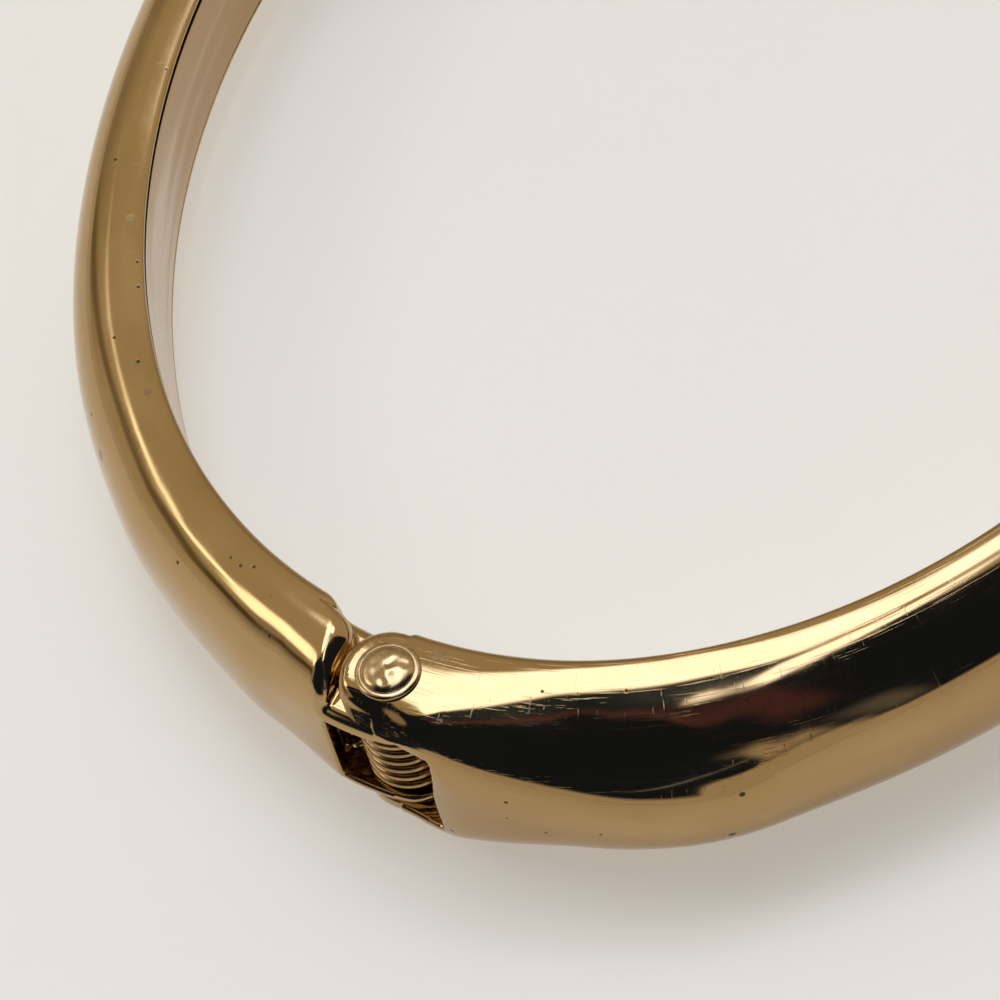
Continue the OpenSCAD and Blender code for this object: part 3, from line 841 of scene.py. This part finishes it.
# %% [markdown]
# Surface and light
# The bangle lies on a plain pale surface. What polished metal shows is the room, so the room
# is made with care: bright lamps overhead and to the right, a narrow one that runs on past the
# zenith, a bright strip to the left, a dim far side and darkness behind the camera. All of it
# is painted on the sky from one table. A place on the sky is given in degrees from the zenith,
# to the right and away from the camera.

# %% Colours as they are, without a film look
bpy.context.scene.view_settings.view_transform = "Standard"
print("view transform:", bpy.context.scene.view_settings.view_transform)


# %% The surface
def make_floor(half=2000.0):
    """A square sheet, 4 m wide, whose pale tone varies a little."""
    points = np.array([[-1, -1, 0], [1, -1, 0], [1, 1, 0], [-1, 1, 0]]) * half
    obj = piece("pale_floor", points, [[0, 1, 2, 3]])
    material = bpy.data.materials.new("pale_floor")
    material.use_nodes = True
    tree = material.node_tree
    shader = tree.nodes["Principled BSDF"]
    place = add(tree, "ShaderNodeTexCoord").outputs["Object"]
    cloud = noise(tree, place, (45, 45, 45), 3)
    tree.links.new(blend(tree, cloud, (0.702, 0.675, 0.617), (0.732, 0.701, 0.638)),
                   shader.inputs["Base Color"])
    shader.inputs["Roughness"].default_value = 0.5
    obj.data.materials.append(material)


make_floor()

# %% A soft-edged patch of sky
# rho^4 = (u / length)^4 + (v / width)^4 is one on a rectangle with rounded corners.
labels = ("Right", "Away", "Middle right", "Middle away", "Turn", "Half length", "Half width",
          "Softness")
patch, given = group("sky_patch", dict.fromkeys(labels, "Float"), {"Mask": "Float"})
x = calc(patch, "SUBTRACT", given["Right"], given["Middle right"])
y = calc(patch, "SUBTRACT", given["Away"], given["Middle away"])
cosine, sine = calc(patch, "COSINE", given["Turn"]), calc(patch, "SINE", given["Turn"])
u = calc(patch, "ADD", calc(patch, "MULTIPLY", x, cosine), calc(patch, "MULTIPLY", y, sine))
v = calc(patch, "SUBTRACT", calc(patch, "MULTIPLY", y, cosine), calc(patch, "MULTIPLY", x, sine))
u = calc(patch, "POWER", calc(patch, "ABSOLUTE", calc(patch, "DIVIDE", u, given["Half length"])), 4)
v = calc(patch, "POWER", calc(patch, "ABSOLUTE", calc(patch, "DIVIDE", v, given["Half width"])), 4)
rho = calc(patch, "POWER", calc(patch, "ADD", u, v), 0.25)
fade = calc(patch, "DIVIDE", given["Softness"],
            calc(patch, "MINIMUM", given["Half length"], given["Half width"]))
edge = (calc(patch, "ADD", 1, fade), calc(patch, "SUBTRACT", 1, fade))
add(patch, "NodeGroupOutput", {"Mask": ramp(patch, rho, *edge)})
print("nodes in a sky patch:", len(patch.nodes))

# %% Where on the sky
world = bpy.data.worlds.new("room")
world.use_nodes = True
bpy.context.scene.world = world
sky = world.node_tree
direction = add(sky, "ShaderNodeTexCoord").outputs["Generated"]
away = Vector((0.825, 0.565, 0)).normalized()
to_right = Vector((away.y, -away.x, 0))


def along(axis):
    """The part of the direction along an axis."""
    return add(sky, "ShaderNodeVectorMath", {0: direction, 1: axis},
               operation="DOT_PRODUCT").outputs["Value"]


flat_x, flat_y = along(to_right), along(away)
level = calc(sky, "SQRT", calc(sky, "ADD", calc(sky, "POWER", flat_x, 2),
                               calc(sky, "ADD", calc(sky, "POWER", flat_y, 2), 1e-9)))
from_zenith = calc(sky, "DEGREES", calc(sky, "ARCTAN2", level, along(Vector((0, 0, 1)))))
sky_x = calc(sky, "MULTIPLY", calc(sky, "DIVIDE", flat_x, level), from_zenith)
sky_y = calc(sky, "MULTIPLY", calc(sky, "DIVIDE", flat_y, level), from_zenith)
print("away from the camera is", np.round(away, 3))

# %% Painting the sky
LAMP, DAYLIGHT, TABLE = (3.2, 3.6, 4.6), (2.9, 3.0, 3.0), (0.62, 0.58, 0.52)
# right, away, turn, half length, half width, softness, all in degrees, and the brightness
patches = [
    (0, 96, 0, 200, 90, 1.5, (0.58, 0.52, 0.4)),       # the far side of the room
    (3.2, 8, 0, 4, 8, 1.5, (0.55, 0.49, 0.4)),
    (0, 110, 0, 200, 60, 9, (0.38, 0.33, 0.25)),
    (-70, -4, 0, 27, 13, 2, (0.42, 0.38, 0.32)),       # the left side, lower down
    (-50, 50, -60, 13, 4, 2.5, (0.22, 0.18, 0.12)),    # dim bands on the left
    (-58, 26, 52, 18, 4.5, 2.5, (0.2, 0.16, 0.11)),
    (-68, 4, 90, 12, 5, 2.5, (0.12, 0.09, 0.06)),
    (-2, 0.5, 0, 6, 5, 2, (0.03, 0.05, 0.085)),        # a dim patch at the zenith
    (-4, -12, -62, 9, 1.2, 0.8, (0.13, 0.075, 0.10)),  # dark red bands in front of it
    (3.5, -23, -68, 15, 2.6, 1.5, (0.10, 0.05, 0.07)),
    (-3.5, 20, 0, 6.5, 13, 0.8, LAMP),
    (3, 18, 62, 7.5, 2.4, 0.8, LAMP),
    (4.5, 25, 0, 3.5, 7.5, 1, LAMP),
    (16, 21, -25, 8, 5.5, 2, LAMP),                    # a lamp to the right
    (4, 3, 64, 11, 2.3, 0.5, LAMP),                    # the narrow lamp past the zenith
    (-36, 35.5, 45, 10, 1.5, 0.8, DAYLIGHT),           # the strip to the left
    (-45, 18, 80, 12, 2.6, 1, DAYLIGHT),
    (-43, 12, 15, 10, 6.5, 2, DAYLIGHT),
    (11, -56, -58, 11, 1.9, 1.2, (0.6, 0.55, 0.5)),    # small patches low in front
    (-8, -61, 22, 14, 0.7, 0.5, (0.25, 0.3, 0.4)),
    (25, -62, -55, 11, 3, 2, (0.16, 0.17, 0.2)),
    (11, -88, 0, 15, 21, 1.5, TABLE),
    (30, -88, -22, 16, 12, 1.5, TABLE)]
paint = add(sky, "ShaderNodeRGB").outputs[0]
paint.default_value = (0.013, 0.02, 0.038, 1)          # the dark side
for right_of, away_by, turned, length, width, soft, shade in patches:
    values = (sky_x, sky_y, right_of, away_by, np.radians(turned), length, width, soft)
    mask = add(sky, "ShaderNodeGroup", dict(zip(labels, values)), node_tree=patch).outputs[0]
    paint = blend(sky, mask, paint, shade)
paint = blend(sky, ramp(sky, from_zenith, 79, 84), paint, TABLE)
sky.links.new(paint, sky.nodes["Background"].inputs["Color"])
print("patches:", len(patches))

# %% [markdown]
# The sky alone leaves the surface dim, since most of it is dark. One wide lamp straight above
# lights the surface and is hidden from reflections.


# %% The lamp for the surface
def hang_lamp(name, place, size, power):
    """A square of light that looks straight down. Place and size are in metres. It makes no
    shadow, because the sky already makes a soft one."""
    data = bpy.data.lights.new(name, "AREA")
    data.size, data.energy, data.use_shadow = size, power, False
    obj = bpy.data.objects.new(name, data)
    obj.location = place
    obj.visible_glossy = False
    bpy.context.scene.collection.objects.link(obj)
    print(name, "hangs at", place)


hang_lamp("surface_lamp", place=(0.1, 0.05, 1.5), size=2.0, power=22)
